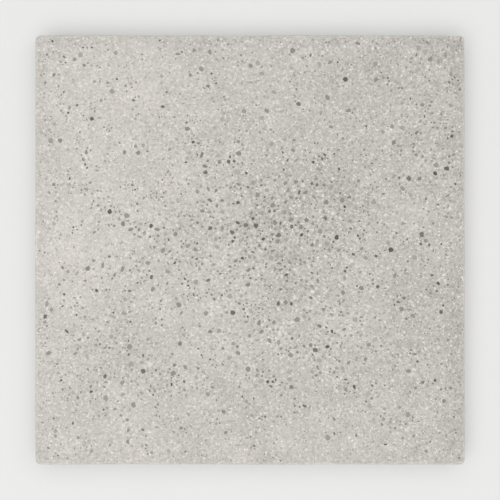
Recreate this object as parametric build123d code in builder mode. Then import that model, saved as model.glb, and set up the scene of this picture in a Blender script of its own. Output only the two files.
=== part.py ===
"""A square precast concrete paving slab, cast as one piece.

The slab lies flat. Its origin is the middle of the underside, +Z points up through the walking
face, and X and Y run along its two pairs of edges. It has four rounded upright corners and a small
45 degree bevel around the walking face. The underside keeps its full, sharp outline.
"""

import os

from build123d import *

# Driving dimensions, in millimetres.
slab_length = 400.0  # along X
slab_width = 400.0  # along Y
slab_thickness = 40.0  # along Z, from the bedding face to the walking face
corner_radius = 5.0  # of the four upright corners, seen from above
arris_bevel = 1.5  # each leg of the bevel around the walking face

# The plain block: the outline seen from above, raised to the full thickness, with the upper arris
# taken off along the four sides and round the four corners.
with BuildPart() as slab:
    with BuildSketch(Plane.XY):
        RectangleRounded(slab_length, slab_width, corner_radius)
    extrude(amount=slab_thickness)
    walking_face = slab.faces().sort_by(Axis.Z)[-1]
    chamfer(walking_face.edges(), length=arris_bevel)

slab.part.label = "slab"

os.makedirs("parts", exist_ok=True)
export_step(slab.part, "parts/slab.step")
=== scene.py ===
"""The looks of a square precast concrete paving slab, seen from straight above.

The slab is one cast piece, so it is one mesh. Its skin is made of three flat patches, the walking
face, the side faces unrolled into a strip, and the underside, each triangulated around the grains
and pores that lie in it. Narrow bands turn the arrises between the patches. Grains are low domes
and pores are small pits, so both are real shapes. Lengths are in millimetres until the mesh is made.
"""

import math
from dataclasses import dataclass
from itertools import chain

import bpy
import numpy as np
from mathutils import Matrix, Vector
from mathutils.geometry import delaunay_2d_cdt


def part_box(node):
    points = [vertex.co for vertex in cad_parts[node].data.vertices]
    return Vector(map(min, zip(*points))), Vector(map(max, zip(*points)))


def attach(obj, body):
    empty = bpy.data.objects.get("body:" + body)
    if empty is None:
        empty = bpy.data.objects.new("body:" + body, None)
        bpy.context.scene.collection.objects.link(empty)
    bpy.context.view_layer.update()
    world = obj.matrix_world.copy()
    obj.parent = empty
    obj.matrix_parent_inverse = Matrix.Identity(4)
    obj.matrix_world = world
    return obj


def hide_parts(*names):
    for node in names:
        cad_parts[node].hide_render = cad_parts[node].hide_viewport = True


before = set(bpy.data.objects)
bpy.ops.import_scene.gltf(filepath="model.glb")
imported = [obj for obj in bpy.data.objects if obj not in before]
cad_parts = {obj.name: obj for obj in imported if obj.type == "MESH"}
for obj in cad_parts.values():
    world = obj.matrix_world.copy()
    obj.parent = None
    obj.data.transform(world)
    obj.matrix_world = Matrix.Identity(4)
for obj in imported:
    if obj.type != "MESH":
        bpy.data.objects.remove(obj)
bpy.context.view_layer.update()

METRES = 0.001  # metres in a millimetre

# The slab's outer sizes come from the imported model.
slab_low, slab_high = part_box("slab")
slab_length, slab_width, slab_thickness = (side / METRES for side in slab_high - slab_low)
corner_radius = 5.0  # of the four upright corners, as cast

# The section of the worn upper arris, from the walking face outwards and down to the side face:
# how far each line of it lies in from the side face, and how far below the walking face.
upper_arris = ((2.6, 0.0), (1.8, 0.08), (1.1, 0.4), (0.45, 1.05), (0.1, 1.75), (0.0, 2.6))
# The same for the lower arris, from the side face down and in to the underside: in from the side
# face, and above the underside.
lower_arris = ((0.0, 1.0), (0.12, 0.4), (0.45, 0.08), (1.0, 0.0))
outline_step = 1.25  # between points along the straight edges
corner_steps = 8  # round each corner
lower_wear = 0.1  # how far the lower arris is worn in and up, on average

# The upper arris is worn a little everywhere and has small chips.
even_wear = 0.16
deepest_wear = 0.5
wear_swells = ((22.0, 0.1), (6.0, 0.07))  # wavelength and strength of what varies the wear
wear_spread = (0.8, 1.2)  # of the depth, from point to point
arris_chips = 46
chip_reach = (0.9, 3.2)  # half a chip's width
chip_depth = (0.25, 0.8)
full_chip = 2.0  # reach from which a chip has its full depth
chip_power = 0.6  # the lower, the steeper a chip's ends and the flatter its middle

# Relief of the three patches, always inwards from the true flat faces.
top_relief = 0.12
side_relief = 0.16
under_relief = 0.22
even_sink, deepest_sink = 1.6, 4.0  # how far a face lies inwards, in units of its relief
broad_rise, middle_rise, fine_rise = 0.9, 0.45, 0.2  # how strongly each swell moves it, in the same
relief_fade = 5.0  # over which the sides' relief sets in, from their upper and lower ends
edge_wave = 0.12  # how far the edges wander in plan
even_inset, deepest_inset = 1.4, 3.5  # how far an edge lies inwards, in edge waves
edge_room = 3.0  # kept free of grains inside an edge's arris, in edge waves

# The points and triangles of the patches
patch_spacing = 8.0  # of the loose points that let a patch rise and fall
patch_jitter = 0.3  # how far they stray from their lattice, as a share of the spacing
face_margin = 3.0  # between the loose points and the rim of the walking face or the underside
side_margin = 2.0  # the same on the side faces
grain_clearance = 0.3  # between a loose point and a grain
merge_distance = 1e-7  # below which the triangulation takes two points for one
TRIANGLES = 1  # what the triangulation is asked to give

# Where the looks of the faces meet
top_looks = 1.2  # how far down the arris the looks of the walking face go
side_looks = 1.0  # how far in from the side faces their looks go
side_wear = 0.27  # how worn the sides and the underside look, where the upper arris is 1

# The map for baking is a square of side 1. The walking face and its arris fill the lower left, the
# side faces stand in columns on the right, and the two halves of the underside lie along the top.
map_name = "OFBake"
map_gap = 0.006  # between the parts of the map
top_share = 0.775  # of the map's side, for the walking face
side_columns = 3
overhang = 1.6 * patch_spacing  # how far a triangle may reach past the end of its part


@dataclass
class Kind:
    """One kind of grain or pore, and how much of it shows on a face."""

    slot: int  # the material slot of its faces
    number: int
    least: float  # the smallest diameter of the circle round one
    spread: float  # about how much larger than the least they are on average
    most: float  # the largest diameter
    rise: float  # of the middle over the rim, as a share of the diameter; a pit is below 0
    flocking: float = 1.0  # how strongly it keeps to the flocks: at 0 it is spread evenly


PASTE, DARK, GREY, PALE, PORE = range(5)  # the material slots
paste_tone = 0.5
small_grain = 1.5  # radius under which grains gather beside others
tries_each = 60  # random places drawn for each grain, of which the crowded ones are kept
tries_beside = 4  # places beside other grains that are tried first, for one that gathers
beside_reach = (1.01, 1.15)  # how far from such a grain they lie, where touching is 1
fewest_corners = 5  # of a grain's rim
corner_radii = (0.7, 1.1, 1.6)  # above each of these radii a rim has one corner more
corner_shift = 0.35  # how far a corner strays round the rim, as a share of the step to the next
corner_reach = (0.64, 1.0)  # how far out a corner lies, as a share of the radius
squashing = (0.5, 1.0)  # a rim's width, as a share of its length
rise_spread = (0.7, 1.2)  # of a grain's height or a pore's depth
pit_floor = 0.66  # width of a pore's floor, as a share of its mouth
pit_wall = 0.75  # how deep a pore's steep walls go, as a share of its depth

top_kinds = (
    Kind(slot=DARK, number=880, least=1.8, spread=1.0, most=6.0, rise=0.03, flocking=2.1),
    Kind(slot=GREY, number=1700, least=2.0, spread=1.45, most=6.4, rise=0.03, flocking=1.2),
    Kind(slot=PALE, number=2600, least=1.4, spread=0.9, most=4.6, rise=0.035, flocking=1.5),
    Kind(slot=PORE, number=300, least=1.0, spread=0.4, most=2.8, rise=-0.35, flocking=0.5),
)
side_kinds = (
    Kind(slot=DARK, number=110, least=1.0, spread=0.6, most=3.4, rise=0.03),
    Kind(slot=GREY, number=200, least=1.2, spread=0.8, most=4.0, rise=0.03),
    Kind(slot=PORE, number=620, least=0.8, spread=0.75, most=4.4, rise=-0.42),
)
under_kinds = (
    Kind(slot=DARK, number=200, least=1.2, spread=0.8, most=4.4, rise=0.03),
    Kind(slot=GREY, number=260, least=1.2, spread=0.8, most=4.4, rise=0.03),
    Kind(slot=PORE, number=520, least=1.0, spread=1.0, most=6.0, rise=-0.36),
)

# Clouds in the walking face, darker or paler than the rest: x, y, radius, and how dark (above 0) or
# pale (below 0) each one is.
clouds = (
    (50.0, 46.0, 64.0, 0.5),
    (18.0, 27.0, 30.0, 0.6),
    (84.0, 32.0, 27.0, 0.45),
    (48.0, 82.0, 26.0, 0.3),
    (38.0, -32.0, 32.0, 0.4),
    (160.0, 172.0, 75.0, 0.5),
    (192.0, 92.0, 40.0, 0.5),
    (-25.0, 182.0, 36.0, 0.35),
    (-12.0, 72.0, 30.0, 0.2),
    (172.0, -46.0, 55.0, 0.45),
    (140.0, -120.0, 70.0, 0.35),
    (-122.0, -100.0, 34.0, 0.2),
    (-15.0, -132.0, 50.0, 0.35),
    (-134.0, 146.0, 80.0, -0.55),
    (-180.0, 10.0, 60.0, -0.8),
    (-190.0, -75.0, 45.0, -0.4),
    (-21.0, -84.0, 36.0, -0.3),
    (-140.0, -185.0, 60.0, -0.3),
    (182.0, -182.0, 34.0, 0.45),
)

# The clouding drifts at random too, and never gets paler or darker than this.
middle_drift, broad_drift = 0.14, 0.08
palest_cloud, darkest_cloud = -1.0, 1.3

# Bands along the edges of the walking face: the distance at which each has faded to about a third,
# and how dark or pale it is. The arris itself is painted pale: partly wear, and partly a painted
# highlight where it would catch the light.
pale_foot, foot_shade = 42.0, -0.1  # along the front edge
dark_flank, flank_shade = 15.0, 0.25  # along the right edge
dark_rim, rim_shade = 9.0, 0.6  # along every edge
# how far in the pale arris reaches: partly wear, partly painted highlight
worn_highlit_reach = 1.9

# Flocks of grains: x, y, radius, and how crowded (above 0) or sparse (below 0) each one is.
flocks = (
    (45.0, 18.0, 62.0, 1.6),
    (22.0, 20.0, 40.0, 0.5),
    (-70.0, 15.0, 60.0, 0.6),
    (-70.0, 70.0, 35.0, -0.4),
    (-115.0, -118.0, 45.0, 0.9),
    (50.0, -75.0, 45.0, 0.6),
    (75.0, -30.0, 30.0, -0.8),
    (-50.0, -75.0, 40.0, -0.6),
    (-110.0, 162.0, 85.0, -1.1),
    (-184.0, 25.0, 90.0, -0.7),
    (40.0, 145.0, 70.0, -0.7),
    (-27.0, 122.0, 30.0, -0.4),
    (172.0, 28.0, 30.0, -0.4),
    (180.0, -80.0, 60.0, -0.5),
    (120.0, -72.0, 35.0, -0.5),
    (-122.0, -172.0, 35.0, -0.9),
    (-50.0, -170.0, 45.0, -0.5),
    (70.0, -175.0, 35.0, -0.7),
    (182.0, -160.0, 50.0, -0.5),
)
plain_crowding = 0.2  # how likely a grain is to show outside all flocks
flock_pull = 0.5  # of the random flocks
huddle_pull = 0.85  # of the smaller ones
foot_loss = 1.1  # how sparse the pale band along the front edge is
bare_edge = 2.0  # in from an edge, up to where grains are half as likely to show
bare_fade = 10.0  # over which they become as likely as elsewhere
even_share = 0.9  # how likely a grain is to show on the sides and the underside

wave_lengths = (0.6, 1.6)  # of the waves that make a swell, as a share of its wavelength

rng = np.random.default_rng(41)


# Shapes of the outline and the fields over it

straight_x = slab_length - 2 * corner_radius
straight_y = slab_width - 2 * corner_radius
quarter = math.pi / 2 * corner_radius
runs = (straight_x, quarter, straight_y, quarter) * 2
run_starts = np.concatenate(([0.0], np.cumsum(runs)))
girth = run_starts[-1]


def round_the_slab(along):
    """Where a distance along the outline is: its places and outward directions in plan.

    The distance starts at the left end of the front edge and runs anticlockwise, seen from above.
    """
    along = np.asarray(along, float) % girth
    run = np.clip(np.searchsorted(run_starts, along, side="right") - 1, 0, len(runs) - 1)
    rest = along - run_starts[run]
    turn = (run // 2) * (math.pi / 2)  # each side starts a quarter turn after the last
    on_corner = run % 2 == 1
    half_x = np.where(run // 2 % 2 == 0, straight_x / 2, straight_y / 2)
    half_y = np.where(run // 2 % 2 == 0, straight_y / 2, straight_x / 2)
    angle = np.where(on_corner, rest / corner_radius, 0.0)
    # In the frame of its own side the edge runs along +x, and outwards is -y.
    x = np.where(on_corner, half_x + corner_radius * np.sin(angle), rest - half_x)
    y = np.where(on_corner, -half_y - corner_radius * np.cos(angle), -half_y - corner_radius)
    out_x, out_y = np.sin(angle), -np.cos(angle)
    cos, sin = np.cos(turn), np.sin(turn)
    places = np.stack((x * cos - y * sin, x * sin + y * cos), axis=-1)
    outwards = np.stack((out_x * cos - out_y * sin, out_x * sin + out_y * cos), axis=-1)
    return places, outwards


def swell(wavelength, waves=24):
    """A smooth random field over space, of unit spread, that changes over about one wavelength."""
    headings = rng.normal(size=(waves, 3))
    headings /= np.linalg.norm(headings, axis=1)[:, None]
    lengths = wavelength * rng.uniform(*wave_lengths, waves)
    pushes = headings * (2 * math.pi / lengths)[:, None]
    phases = rng.uniform(0, 2 * math.pi, waves)

    def field(places):
        return math.sqrt(2 / waves) * np.cos(places @ pushes.T + phases).sum(axis=1)

    return field


broad_swell, middle_swell, fine_swell = swell(120.0), swell(34.0), swell(11.0)
wander = swell(90.0)
flock, huddle = swell(38.0), swell(13.0)


def relief(places, unit):
    """How far the skin lies inwards of the true face."""
    rise = broad_rise * broad_swell(places)
    rise = rise + middle_rise * middle_swell(places)
    rise = rise + fine_rise * fine_swell(places)
    return unit * np.clip(even_sink + rise, 0.0, deepest_sink)


def edge_inset(places):
    """How far the side faces stand in from their true place in plan."""
    return edge_wave * np.clip(even_inset + wander(places), 0.0, deepest_inset)


def fade(distance, reach):
    """1 at no distance, falling softly to about a third at the reach."""
    return np.exp(-((distance / reach) ** 2))


def blend_spots(places, spots):
    """The sum of soft round spots, each given by x, y, radius and strength."""
    total = np.zeros(len(places))
    for x, y, radius, strength in spots:
        total += strength * fade(np.hypot(places[:, 0] - x, places[:, 1] - y), radius)
    return total


def from_edge(places):
    """Distance in from the nearest side face, in plan."""
    return np.minimum(slab_length / 2 - abs(places[:, 0]), slab_width / 2 - abs(places[:, 1]))


def in_pale_foot(places):
    """How far a place lies in the pale band along the front edge, from 0 to 1."""
    return fade(places[:, 1] + slab_width / 2, pale_foot)


def on_worn_highlit_arris(places):
    """How far a place lies on the paler arris, from 0 to 1. Its paleness is partly wear and partly a
    painted highlight.
    """
    return fade(from_edge(places), worn_highlit_reach)


def cloudiness(places):
    """How dark (above 0) or pale (below 0) the clouding is over the walking face."""
    drift = middle_drift * middle_swell(places) + broad_drift * broad_swell(places)
    bands = flank_shade * fade(slab_length / 2 - places[:, 0], dark_flank)
    bands += foot_shade * in_pale_foot(places)
    # The dark rim stops at the arris, which is left paler: partly wear, partly painted highlight.
    bands += rim_shade * (fade(from_edge(places), dark_rim) - on_worn_highlit_arris(places))
    return np.clip(blend_spots(places, clouds) + bands + drift, palest_cloud, darkest_cloud)


# Grains and pores


def with_height(plan, height=0.0):
    return np.column_stack((plan, np.full(len(plan), height)))


def top_crowding(plan):
    """How likely a grain is to show at each place of the walking face, from 0 to 1.

    Grains come in flocks, and are scarce along the edges, where the cement gathers against the
    mould.
    """
    places = with_height(plan, slab_thickness)
    edge = np.clip((from_edge(places) - bare_edge) / bare_fade, 0.0, 1.0)
    crowd = blend_spots(places, flocks) + flock_pull * flock(places) + huddle_pull * huddle(places)
    crowd -= foot_loss * in_pale_foot(places)
    return np.clip(plain_crowding * np.exp(crowd), 0.0, 1.0) * (0.5 + 0.5 * edge)


def even_crowding(plan):
    return np.full(len(plan), even_share)


def diameters(kind):
    """Random sizes for all of a kind: the larger, the fewer."""
    return np.minimum(kind.least + rng.exponential(kind.spread, kind.number), kind.most)


def spots_beside(found, radius):
    """A few places close beside grains that are placed already."""
    spots = []
    for number in rng.integers(0, len(found), tries_beside):
        _, other, x, y = found[number]
        angle = rng.uniform(0, 2 * math.pi)
        away = (radius + other) * rng.uniform(*beside_reach)
        spots.append((x + away * math.cos(angle), y + away * math.sin(angle)))
    return spots


def scatter(kinds, low, high, crowding, gap, clumped):
    """Places the grains and pores of some kinds in a flat box, largest first, clear of each other.

    About the clumped share of the small ones lies beside another one. Returns one row for each:
    its kind, radius and middle.
    """
    wanted = [(size / 2, kind) for kind in kinds for size in diameters(kind)]
    wanted.sort(key=lambda item: -item[0])
    tries = {}
    for kind in kinds:
        spots = rng.uniform(low, high, size=(tries_each * kind.number, 2))
        spots = spots[rng.random(len(spots)) < crowding(spots) ** kind.flocking]
        tries[kind.slot] = iter(spots.tolist())
    cell = 2 * wanted[0][0] + gap
    taken = {}
    found = []
    for radius, kind in wanted:
        huddles = found and radius < small_grain and rng.random() < clumped
        beside = spots_beside(found, radius + gap) if huddles else []
        for x, y in chain(beside, tries[kind.slot]):
            column, row = int(x // cell), int(y // cell)
            near = (
                other
                for i in (column - 1, column, column + 1)
                for j in (row - 1, row, row + 1)
                for other in taken.get((i, j), ())
            )
            if min(x - low[0], high[0] - x, y - low[1], high[1] - y) < radius + gap:
                continue
            if all(math.hypot(x - a, y - b) > radius + r + gap for a, b, r in near):
                taken.setdefault((column, row), []).append((x, y, radius))
                found.append((kind, radius, x, y))
                break
    return found


def rim_of(radius, middle):
    """An uneven angular outline for a grain or pore, anticlockwise."""
    corners = fewest_corners + sum(int(radius > limit) for limit in corner_radii)
    steps = np.arange(corners) + rng.uniform(-corner_shift, corner_shift, corners)
    angles = steps * 2 * math.pi / corners
    reach = radius * rng.uniform(*corner_reach, corners)
    squash = rng.uniform(*squashing)
    heading = rng.uniform(0, math.pi)
    x, y = reach * np.cos(angles), squash * reach * np.sin(angles)
    cos, sin = math.cos(heading), math.sin(heading)
    return np.column_stack((x * cos - y * sin, x * sin + y * cos)) + middle


@dataclass
class Patch:
    """A flat, triangulated piece of the skin. A point's depth is how far it is sunk below it."""

    points: np.ndarray
    depths: np.ndarray
    triangles: np.ndarray
    slots: np.ndarray
    tones: np.ndarray
    rim: np.ndarray  # for each point, its number along the boundary that was given, or -1


def triangulated(boundary, loose, flaws):
    """A patch inside a closed boundary, with loose points and with grains and pores let in."""
    points = [boundary, loose]
    depths = [np.zeros(len(boundary) + len(loose))]
    rings = [np.arange(len(boundary))]
    slots, tones = [PASTE], [paste_tone]
    count = len(boundary) + len(loose)
    for kind, radius, x, y in flaws:
        middle = np.array((x, y))
        outer = rim_of(radius, middle)
        drop = -2 * radius * kind.rise * rng.uniform(*rise_spread)
        layers = [(outer, 0.0)]
        if kind.rise < 0:  # a pit has steep walls and a rounded floor
            layers.append((middle + pit_floor * (outer - middle), pit_wall * drop))
        tone = rng.random()
        for ring, depth in layers:
            rings.append(np.arange(count, count + len(ring)))
            points.append(ring)
            depths.append(np.full(len(ring), depth))
            slots.append(kind.slot)
            tones.append(tone)
            count += len(ring)
        points.append(middle[None])
        depths.append([drop])
        count += 1
    points, depths = np.concatenate(points), np.concatenate(depths)
    flat = [Vector(point) for point in points.tolist()]
    loops = [ring.tolist() for ring in rings]
    made, _, triangles, sources, _, owners = delaunay_2d_cdt(
        flat, [], loops, TRIANGLES, merge_distance, True
    )
    source = np.array([of[0] for of in sources])
    kept = [number for number, of in enumerate(owners) if of]  # the rest lie outside the boundary
    owner = np.array([max(owners[number]) for number in kept])
    return Patch(
        points=np.array([tuple(point) for point in made]),
        depths=depths[source],
        triangles=np.array(triangles)[kept],
        slots=np.array(slots)[owner],
        tones=np.array(tones)[owner],
        rim=np.where(source < len(boundary), source, -1),
    )


def loose_points(low, high, margin, flaws):
    """An uneven lattice of points over a flat box, clear of its rim and of the grains and pores."""
    columns = np.arange(low[0] + margin, high[0] - margin, patch_spacing)
    rows = np.arange(low[1] + margin, high[1] - margin, patch_spacing)
    lattice = np.array([(x, y) for x in columns for y in rows])
    lattice += rng.uniform(-patch_jitter, patch_jitter, lattice.shape) * patch_spacing
    inside = (lattice > np.add(low, margin)) & (lattice < np.subtract(high, margin))
    lattice = lattice[inside.all(axis=1)]
    discs = np.array([(x, y, radius) for _, radius, x, y in flaws])
    keep = []
    for point in lattice:
        clear = np.hypot(*(discs[:, :2] - point).T) - discs[:, 2]
        keep.append(clear.min() > grain_clearance)
    return lattice[np.array(keep)]


# The skin is gathered from the patches and bands


class Skin:
    """The points and triangles of the whole slab, as they are gathered."""

    def __init__(self):
        self.points, self.count = [], 0
        self.triangles, self.slots, self.tones, self.maps = [], [], [], []

    def add_points(self, places):
        numbers = np.arange(self.count, self.count + len(places))
        self.points.append(places)
        self.count += len(places)
        return numbers

    def add_triangles(self, triangles, slots, tones, maps):
        """Adds triangles, with the place on the map of each of their corners."""
        self.triangles.append(triangles)
        self.slots.append(slots)
        self.tones.append(tones)
        self.maps.append(maps)


upper_arcs, lower_arcs = (
    np.append(0.0, np.cumsum(np.linalg.norm(np.diff(section, axis=0), axis=1)))
    for section in (upper_arris, lower_arris)
)
foot, brow = lower_arris[0][1], slab_thickness - upper_arris[-1][1]  # heights of the side strip


def map_walking_face(corners):
    """The map places of triangles of the walking face and of the arris spread flat round it."""
    reach = slab_length + 2 * (upper_arcs[-1] - upper_arris[0][0])
    return top_share / 2 + corners * (top_share - map_gap) / reach


def map_side_faces(corners):
    """The map places of triangles of the unrolled side strip, with the lower arris below it."""
    stretch = girth / side_columns
    width = (1 - top_share) / side_columns
    bottom = foot - lower_arcs[-1]
    scale = min((1 - map_gap) / (stretch + overhang), (width - map_gap) / (brow - bottom))
    column = np.minimum(corners[:, :, 0].min(axis=1) // stretch, side_columns - 1)[:, None]
    across = top_share + (column + 1) * width - map_gap / 2 - scale * (corners[:, :, 1] - bottom)
    up = map_gap / 2 + scale * (corners[:, :, 0] - column * stretch)
    return np.stack((across, up), axis=-1)


def map_underside(corners):
    """The map places of triangles of the underside, in a left and a right half."""
    width, height = top_share / 2, 1 - top_share
    scale = min((width - map_gap) / slab_width, (height - map_gap) / (slab_length / 2 + overhang))
    right = (corners[:, :, 0].min(axis=1) >= 0)[:, None]
    across = right * width + map_gap / 2 + scale * (corners[:, :, 1] + slab_width / 2)
    up = top_share + map_gap / 2 + scale * (corners[:, :, 0] + ~right * slab_length / 2)
    return np.stack((across, up), axis=-1)


def add_band(skin, upper, lower, upper_flat, lower_flat, chart):
    """Joins two closed lines of points that follow each other round the slab.

    The flat places of each line on its chart are one more than its points, to close the line.
    """
    after_upper, after_lower = np.roll(upper, -1), np.roll(lower, -1)
    first = np.column_stack((upper, lower, after_lower))
    second = np.column_stack((upper, after_lower, after_upper))
    triangles = np.concatenate((first, second))
    corners = np.concatenate((
        np.stack((upper_flat[:-1], lower_flat[:-1], lower_flat[1:]), axis=1),
        np.stack((upper_flat[:-1], lower_flat[1:], upper_flat[1:]), axis=1),
    ))
    slots, tones = np.full(len(triangles), PASTE), np.full(len(triangles), paste_tone)
    skin.add_triangles(triangles, slots, tones, chart(corners))


def outline_stations():
    """Distances along the outline at which every line round the slab has a point."""
    steps_x, steps_y = round(straight_x / outline_step), round(straight_y / outline_step)
    steps = (steps_x, corner_steps, steps_y, corner_steps) * 2
    return np.concatenate([
        start + length * np.arange(count) / count
        for start, length, count in zip(run_starts, runs, steps)
    ])


stations = outline_stations()
closed_stations = np.append(stations, girth)
station_places, station_outwards = round_the_slab(stations)


def chip_depths():
    """How deep the upper arris is chipped or worn at each station."""
    places = with_height(station_places)
    wear = even_wear
    for wavelength, strength in wear_swells:
        wear = wear + strength * swell(wavelength)(places)
    depth = np.clip(wear, 0.0, deepest_wear)
    for _ in range(arris_chips):
        middle = rng.uniform(0, girth)
        reach = rng.uniform(*chip_reach)
        away = abs((stations - middle + girth / 2) % girth - girth / 2) / reach
        bite = rng.uniform(*chip_depth) * min(1.0, reach / full_chip)
        depth = np.maximum(depth, bite * np.clip(1 - away**2, 0, 1) ** chip_power)
    return depth


def line_in_plan(inset):
    """A line round the slab, at an inset from the true side faces that may differ by station."""
    return station_places - station_outwards * inset[:, None]


def closed(line):
    """A line of places with its first one repeated at the end."""
    return np.concatenate((line, line[:1]))


def add_upper_arris(skin, inset):
    """Adds the worn arris round the walking face. Returns its upper and its lower line."""
    chips = chip_depths()
    rim = line_in_plan(inset + upper_arris[0][0])
    rim_relief = relief(with_height(rim, slab_thickness), top_relief)
    lines = []
    last = len(upper_arris) - 1
    for number, (section_inset, section_depth) in enumerate(upper_arris):
        share = number / last
        bite = chips * math.sin(math.pi * share) * rng.uniform(*wear_spread, len(stations))
        sunk = rim_relief * (1 - share) + section_depth + bite
        plan = line_in_plan(inset + (section_inset + bite))
        lines.append(skin.add_points(np.column_stack((plan, slab_thickness - sunk))))
    spread = [closed(rim + station_outwards * arc) for arc in upper_arcs]
    for number in range(last):
        add_band(skin, *lines[number:number + 2], *spread[number:number + 2], map_walking_face)
    return lines[0], lines[-1]


def add_lower_arris(skin, inset):
    """Adds the small arris round the underside. Returns its upper and its lower line."""
    rim = line_in_plan(inset + lower_arris[-1][0])
    rim_relief = relief(with_height(rim), under_relief)
    lines = []
    last = len(lower_arris) - 1
    for number, (section_inset, section_height) in enumerate(lower_arris):
        share = number / last
        wear = lower_wear * math.sin(math.pi * share) * rng.uniform(0.0, 2.0, len(stations))
        plan = line_in_plan(inset + (section_inset + wear))
        height = section_height + wear + share * rim_relief
        lines.append(skin.add_points(np.column_stack((plan, height))))
    spread = [with_height(closed_stations[:, None], foot - arc) for arc in lower_arcs]
    for number in range(last):
        add_band(skin, *lines[number:number + 2], *spread[number:number + 2], map_side_faces)
    return lines[0], lines[-1]


def side_places(unrolled, depths):
    """Rolls points of the side strip back round the slab, sunk below the faces by their depths."""
    plan, outwards = round_the_slab(unrolled[:, 0])
    on_face = np.column_stack((plan, unrolled[:, 1]))
    from_end = np.minimum(unrolled[:, 1] - foot, brow - unrolled[:, 1])
    share = np.clip(from_end / relief_fade, 0.0, 1.0)
    sunk = np.maximum(share * relief(on_face, side_relief) + depths, 0.0)
    sunk += edge_inset(with_height(plan))
    return np.column_stack((plan - outwards * sunk[:, None], unrolled[:, 1]))


def add_patch(skin, patch, places, rim, chart):
    """Adds a patch whose boundary points are already in the skin, under the numbers in rim."""
    inside = patch.rim < 0
    numbers = np.empty(len(places), int)
    numbers[inside] = skin.add_points(places[inside])
    numbers[~inside] = rim[patch.rim[~inside]]
    corners = patch.points[patch.triangles]
    skin.add_triangles(numbers[patch.triangles], patch.slots, patch.tones, chart(corners))


def face_patch(skin, rim, rim_inset, kinds, crowding, gap, clumped):
    """A patch inside a closed line of the skin, with grains and pores of some kinds let in."""
    half = np.array((slab_length / 2, slab_width / 2)) - rim_inset - edge_room * edge_wave
    flaws = scatter(kinds, -half, half, crowding, gap, clumped)
    boundary = np.concatenate(skin.points)[rim][:, :2]
    return triangulated(boundary, loose_points(-half, half, face_margin, flaws), flaws)


def add_walking_face(skin, rim):
    patch = face_patch(skin, rim, upper_arris[0][0], top_kinds, top_crowding, gap=0.05, clumped=0.5)
    places = with_height(patch.points, slab_thickness)
    places[:, 2] -= relief(places, top_relief) + patch.depths
    places[:, 2] = np.minimum(places[:, 2], slab_thickness)
    add_patch(skin, patch, places, rim, map_walking_face)


def add_underside(skin, rim):
    """Adds the underside. It is seen from below, so its triangles turn the other way."""
    patch = face_patch(skin, rim, lower_arris[-1][0], under_kinds, even_crowding, gap=0.2, clumped=0.15)
    patch.triangles = patch.triangles[:, ::-1]
    places = with_height(patch.points)
    places[:, 2] += relief(places, under_relief) + patch.depths
    places[:, 2] = np.maximum(places[:, 2], 0.0)
    add_patch(skin, patch, places, rim, map_underside)


def add_side_faces(skin, upper, lower):
    """Adds the side faces between two lines, as one strip: along the outline, and up."""
    low, high = np.array((0.0, foot)), np.array((girth, brow))
    flaws = scatter(side_kinds, low, high, even_crowding, gap=0.3, clumped=0.1)
    levels = np.arange(foot, brow, patch_spacing / 2)[1:]
    right = np.column_stack((np.full(len(levels), girth), levels))
    left = np.column_stack((np.zeros(len(levels)), levels))[::-1]
    boundary = np.concatenate((
        with_height(closed_stations[:, None], foot),
        right,
        with_height(closed_stations[:, None], brow)[::-1],
        left,
    ))
    patch = triangulated(boundary, loose_points(low, high, side_margin, flaws), flaws)
    seam = skin.add_points(side_places(left, np.zeros(len(left))))
    rim = np.concatenate((closed(lower), seam[::-1], closed(upper)[::-1], seam))
    add_patch(skin, patch, side_places(patch.points, patch.depths), rim, map_side_faces)


def make_skin():
    skin = Skin()
    inset = edge_inset(with_height(station_places))
    top_rim, side_top = add_upper_arris(skin, inset)
    side_foot, under_rim = add_lower_arris(skin, inset)
    add_walking_face(skin, top_rim)
    add_underside(skin, under_rim)
    add_side_faces(skin, side_top, side_foot)
    return skin


# Materials

grit_depth = 0.3  # of the bump

# The stone kinds and the pores, in the order of their slots: darkest and palest colour, roughness
grain_looks = (
    ("dark_grain", (0.078, 0.072, 0.062), (0.275, 0.255, 0.223), 0.6),
    ("grey_grain", (0.25, 0.234, 0.206), (0.44, 0.418, 0.378), 0.65),
    ("pale_grain", (0.6, 0.58, 0.54), (0.72, 0.705, 0.67), 0.6),
    # The pores' walls are painted darker than the paste: painted shade inside the pits, on top of the
    # shade that their real depth gives.
    ("pore", (0.16, 0.15, 0.135), (0.36, 0.345, 0.315), 0.9),
)


def add_node(tree, kind, settings=None, **inputs):
    """Adds a shader node. An input may be a value or the output socket that feeds it."""
    node = tree.nodes.new(kind)
    for name, value in (settings or {}).items():
        setattr(node, name, value)
    for name, value in inputs.items():
        socket = node.inputs[name.replace("_", " ")]
        if isinstance(value, bpy.types.NodeSocket):
            tree.links.new(value, socket)
        else:
            socket.default_value = value
    return node


def calculate(tree, operation, *values):
    """A maths node on values or sockets."""
    node = tree.nodes.new("ShaderNodeMath")
    node.operation = operation
    for socket, value in zip(node.inputs, values):
        if isinstance(value, bpy.types.NodeSocket):
            tree.links.new(value, socket)
        else:
            socket.default_value = value
    return node.outputs[0]


def ramp(tree, factor, *stops):
    """A colour ramp from (position, grey or colour) stops."""
    node = add_node(tree, "ShaderNodeValToRGB", Fac=factor)
    elements = node.color_ramp.elements
    while len(elements) < len(stops):
        elements.new(0.5)
    for element, (position, colour) in zip(elements, stops):
        element.position = position
        element.color = (*colour, 1.0) if isinstance(colour, tuple) else (colour, colour, colour, 1.0)
    return node.outputs["Color"]


def mix_in(tree, base, layer, weight):
    """Adds a layer to a base, as strong as its weight."""
    return calculate(tree, "MULTIPLY_ADD", layer, weight, base)


def grain_noise(tree, coordinates, size, detail=2.0):
    """Noise whose blobs are about this many millimetres across, from 0 to 1."""
    return add_node(
        tree, "ShaderNodeTexNoise", Vector=coordinates, Scale=1 / (size * METRES), Detail=detail
    ).outputs["Fac"]


def centred(tree, noise):
    """The same noise, swinging about 0."""
    return calculate(tree, "SUBTRACT", noise, 0.5)


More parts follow.
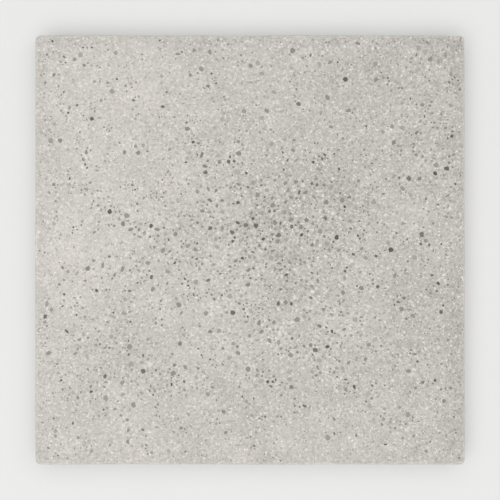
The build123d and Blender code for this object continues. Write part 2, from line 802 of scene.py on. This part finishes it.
def sand_cells(tree, coordinates, size):
    """A cell for each sand grain: a random number for each, and the distance from its middle."""
    cells = add_node(
        tree, "ShaderNodeTexVoronoi", Vector=coordinates, Scale=1 / (size * METRES), Randomness=1.0
    )
    random = add_node(tree, "ShaderNodeSeparateColor", Color=cells.outputs["Color"]).outputs["Red"]
    return random, cells.outputs["Distance"]


def start_material(name):
    material = bpy.data.materials.new(name)
    material.use_nodes = True
    tree = material.node_tree
    shader = tree.nodes["Principled BSDF"]
    coordinates = tree.nodes.new("ShaderNodeTexCoord").outputs["Object"]
    return material, tree, shader, coordinates


def read_attribute(tree, name):
    return add_node(tree, "ShaderNodeAttribute", {"attribute_name": name}).outputs["Fac"]


def grit_bump(tree, coordinates, strength):
    """The rub of fine sand, as bump."""
    _, away = sand_cells(tree, coordinates, size=0.8)
    height = grain_noise(tree, coordinates, size=0.35)
    height = mix_in(tree, height, away, weight=-0.6)
    height = mix_in(tree, height, grain_noise(tree, coordinates, size=3.0), weight=1.5)
    return add_node(
        tree, "ShaderNodeBump", Strength=strength, Distance=grit_depth * METRES, Height=height
    ).outputs["Normal"]


def speckle(tree, sand, coordinates):
    """The shade of the sand grains, coarse and fine: mostly even, with a few pale or dark ones."""
    coarse = ramp(
        tree, sand,
        (0.0, 0.66), (0.04, 0.84), (0.1, 0.94), (0.3, 0.98), (0.8, 1.03), (0.91, 1.13), (1.0, 1.39),
    )
    fine_sand, _ = sand_cells(tree, coordinates, size=0.5)
    fine = ramp(tree, fine_sand, (0.0, 0.7), (0.1, 0.93), (0.5, 1.0), (1.0, 1.09))
    return calculate(tree, "MULTIPLY", coarse, fine)


def upright_streaks(tree, coordinates):
    """Noise drawn out along the height."""
    stretched = add_node(
        tree, "ShaderNodeMapping", {"vector_type": "POINT"}, Vector=coordinates, Scale=(1.0, 1.0, 0.14)
    ).outputs["Vector"]
    return grain_noise(tree, stretched, size=3.0, detail=3.0)


def paste_material():
    """Cement and sand: pale warm grey, finely speckled, with soft clouds.

    The side faces have faint upright streaks, where the slab slid out of its mould.
    """
    material, tree, shader, coordinates = start_material("concrete_paste")
    cloud = read_attribute(tree, "cloud")
    wear = read_attribute(tree, "wear")
    side = read_attribute(tree, "side")
    sand, _ = sand_cells(tree, coordinates, size=1.25)

    # The speckle is calmer where the paste is worn. In the dark clouds the factor is below 0, which
    # makes it stronger.
    calm = mix_in(tree, calculate(tree, "MULTIPLY", wear, 0.7), cloud, weight=-0.24)
    shade = add_node(
        tree, "ShaderNodeMix", {"data_type": "FLOAT", "clamp_factor": False},
        Factor=calm, A=speckle(tree, sand, coordinates), B=1.03,
    ).outputs["Result"]
    mottle = grain_noise(tree, coordinates, size=9.0, detail=3.0)
    blotches = grain_noise(tree, coordinates, size=2.6, detail=1.0)
    streaks = calculate(tree, "MULTIPLY", centred(tree, upright_streaks(tree, coordinates)), side)
    shade = mix_in(tree, shade, centred(tree, mottle), weight=0.2)
    shade = mix_in(tree, shade, centred(tree, blotches), weight=0.5)
    shade = mix_in(tree, shade, cloud, weight=-0.135)
    # Paler where the wear attribute is high. On the arris this is partly wear and partly a painted
    # highlight; the sides and the underside are evenly a little paler as wear.
    shade = mix_in(tree, shade, wear, weight=0.3)
    shade = mix_in(tree, shade, streaks, weight=0.3)

    hue = grain_noise(tree, coordinates, size=45.0)
    tint = ramp(tree, hue, (0.35, (0.576, 0.543, 0.506)), (0.65, (0.568, 0.543, 0.499)))
    colour = add_node(tree, "ShaderNodeVectorMath", {"operation": "SCALE"}, Vector=tint, Scale=shade)
    tree.links.new(colour.outputs["Vector"], shader.inputs["Base Color"])

    tree.links.new(mix_in(tree, 0.84, sand, weight=0.12), shader.inputs["Roughness"])
    shader.inputs["Specular IOR Level"].default_value = 0.3
    tree.links.new(grit_bump(tree, coordinates, strength=0.5), shader.inputs["Normal"])
    return material


def grain_material(name, darkest, palest, roughness):
    """A kind of stone grain, each grain with a tone of its own."""
    material, tree, shader, coordinates = start_material(name)
    flecks = grain_noise(tree, coordinates, size=0.5)
    tone = mix_in(tree, read_attribute(tree, "tone"), centred(tree, flecks), weight=0.5)
    colour = ramp(tree, tone, (0.0, darkest), (1.0, palest))
    tree.links.new(colour, shader.inputs["Base Color"])
    rough = mix_in(tree, roughness, centred(tree, flecks), weight=0.2)
    tree.links.new(rough, shader.inputs["Roughness"])
    shader.inputs["Specular IOR Level"].default_value = 0.4
    tree.links.new(grit_bump(tree, coordinates, strength=0.25), shader.inputs["Normal"])
    return material


# The mesh


def point_values(mesh, name, values):
    layer = mesh.attributes.new(name, "FLOAT", "POINT")
    layer.data.foreach_set("value", values.astype(np.float32))


def mark_grain_rims(mesh, triangles, slots):
    """Makes an edge sharp where a grain or pore meets what is round it."""
    sides = np.concatenate((triangles[:, :2], triangles[:, 1:], triangles[:, ::2]))
    keys = np.sort(sides, axis=1)
    owners = np.tile(slots, 3)
    order = np.lexsort((keys[:, 1], keys[:, 0]))
    keys, owners = keys[order], owners[order]
    same = (keys[1:] == keys[:-1]).all(axis=1)
    differs = same & (owners[1:] != owners[:-1])
    width = len(mesh.vertices)
    sharp = set((keys[:-1][differs, 0] * width + keys[:-1][differs, 1]).tolist())
    ends = np.empty(2 * len(mesh.edges), np.int64)
    mesh.edges.foreach_get("vertices", ends)
    ends = np.sort(ends.reshape(-1, 2), axis=1)
    codes = (ends[:, 0] * width + ends[:, 1]).tolist()
    layer = mesh.attributes.new("sharp_edge", "BOOLEAN", "EDGE")
    layer.data.foreach_set("value", [code in sharp for code in codes])


def make_slab():
    skin = make_skin()
    points, triangles = np.concatenate(skin.points), np.concatenate(skin.triangles)
    slots, tones = np.concatenate(skin.slots), np.concatenate(skin.tones)
    print("slab triangles:", len(triangles))

    mesh = bpy.data.meshes.new("concrete_slab")
    mesh.vertices.add(len(points))
    mesh.vertices.foreach_set("co", (points * METRES).ravel())
    mesh.loops.add(3 * len(triangles))
    mesh.loops.foreach_set("vertex_index", triangles.ravel())
    mesh.polygons.add(len(triangles))
    mesh.polygons.foreach_set("loop_start", np.arange(0, 3 * len(triangles), 3))
    mesh.update(calc_edges=True)
    mesh.validate()

    mesh.materials.append(paste_material())
    for looks in grain_looks:
        mesh.materials.append(grain_material(*looks))
    mesh.polygons.foreach_set("material_index", slots)
    mesh.shade_smooth()
    layer = mesh.uv_layers.new(name=map_name)
    layer.uv.foreach_set("vector", np.concatenate(skin.maps).astype(np.float32).ravel())
    tone = mesh.attributes.new("tone", "FLOAT", "FACE")
    tone.data.foreach_set("value", tones.astype(np.float32))
    on_top = points[:, 2] > slab_thickness - top_looks
    on_side = (from_edge(points) < side_looks) & ~on_top
    point_values(mesh, "cloud", np.where(on_top, cloudiness(points), 0.0))
    # The wear attribute: on the walking face it is the pale arris, partly wear and partly painted
    # highlight; elsewhere it is the even wear of the sides and the underside.
    point_values(mesh, "wear", np.where(on_top, on_worn_highlit_arris(points), side_wear))
    point_values(mesh, "side", on_side.astype(float))
    mark_grain_rims(mesh, triangles, slots)

    slab = bpy.data.objects.new("concrete_slab", mesh)
    bpy.context.scene.collection.objects.link(slab)
    return slab


slab = make_slab()
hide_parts("slab")
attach(slab, "root")


# The studio

floor_reach = 6.0  # metres from the middle to each side
floor_fade = (0.45, 1.3)  # metres from the middle, where the lit floor turns into the backdrop
backdrop_colour = (0.84, 0.84, 0.835, 1.0)


def seen_directly(tree):
    """1 where a camera, glossy or transmission ray arrives, else 0."""
    path = tree.nodes.new("ShaderNodeLightPath")
    bent = calculate(tree, "MAXIMUM", path.outputs["Is Glossy Ray"], path.outputs["Is Transmission Ray"])
    return calculate(tree, "MAXIMUM", path.outputs["Is Camera Ray"], bent)


def make_floor():
    mesh = bpy.data.meshes.new("floor")
    turns = ((-1, -1), (1, -1), (1, 1), (-1, 1))
    mesh.from_pydata([(x * floor_reach, y * floor_reach, 0) for x, y in turns], [], [(0, 1, 2, 3)])
    material, tree, shader, coordinates = start_material("floor")
    shader.inputs["Base Color"].default_value = (0.82, 0.82, 0.81, 1.0)
    shader.inputs["Roughness"].default_value = 0.9
    shader.inputs["Specular IOR Level"].default_value = 0.2
    away = add_node(tree, "ShaderNodeVectorMath", {"operation": "LENGTH"}, Vector=coordinates)
    far = add_node(
        tree, "ShaderNodeMapRange", {"interpolation_type": "SMOOTHSTEP"},
        Value=away.outputs["Value"], From_Min=floor_fade[0], From_Max=floor_fade[1],
    ).outputs["Result"]
    glow = add_node(tree, "ShaderNodeEmission", Color=backdrop_colour, Strength=1.0).outputs[0]
    mix = tree.nodes.new("ShaderNodeMixShader")
    tree.links.new(calculate(tree, "MULTIPLY", far, seen_directly(tree)), mix.inputs[0])
    tree.links.new(shader.outputs[0], mix.inputs[1])
    tree.links.new(glow, mix.inputs[2])
    tree.links.new(mix.outputs[0], tree.nodes["Material Output"].inputs["Surface"])
    mesh.materials.append(material)
    floor = bpy.data.objects.new("floor", mesh)
    bpy.context.scene.collection.objects.link(floor)


def make_world(strength):
    """Even light from all round. Seen directly it is the pale backdrop."""
    world = bpy.data.worlds.new("studio")
    bpy.context.scene.world = world
    world.use_nodes = True
    tree = world.node_tree
    light = tree.nodes["Background"]
    light.inputs["Color"].default_value = (0.98, 0.99, 1.0, 1.0)
    light.inputs["Strength"].default_value = strength
    backdrop = add_node(tree, "ShaderNodeBackground", Color=backdrop_colour, Strength=1.0)
    mix = tree.nodes.new("ShaderNodeMixShader")
    tree.links.new(seen_directly(tree), mix.inputs[0])
    tree.links.new(light.outputs[0], mix.inputs[1])
    tree.links.new(backdrop.outputs[0], mix.inputs[2])
    tree.links.new(mix.outputs[0], tree.nodes["World Output"].inputs["Surface"])


def add_softbox(name, place, size, power):
    """A square soft lamp that looks at the middle of the floor."""
    light = bpy.data.lights.new(name, "AREA")
    light.shape = "SQUARE"
    light.size = size
    light.energy = power
    lamp = bpy.data.objects.new(name, light)
    lamp.location = place
    lamp.rotation_euler = (-Vector(place)).to_track_quat("-Z", "Y").to_euler()
    bpy.context.scene.collection.objects.link(lamp)


def make_camera():
    """Looks straight down, with the slab's back edge at the top of the picture."""
    lens, sensor = 100.0, 36.0
    filled = 0.86  # of the picture's width, by the walking face
    camera = bpy.data.cameras.new("camera")
    camera.lens = lens
    camera.sensor_width = sensor
    holder = bpy.data.objects.new("camera", camera)
    distance = slab_length * METRES / filled * lens / sensor
    holder.location = (0.0, 0.0, slab_thickness * METRES + distance)
    bpy.context.scene.collection.objects.link(holder)
    bpy.context.scene.camera = holder


make_floor()
make_world(strength=0.52)
add_softbox("key", place=(-0.35, -0.6, 2.4), size=1.6, power=16.4)
add_softbox("overhead", place=(0.1, 0.2, 2.4), size=2.4, power=22.0)
make_camera()
bpy.context.scene.view_settings.view_transform = "Standard"
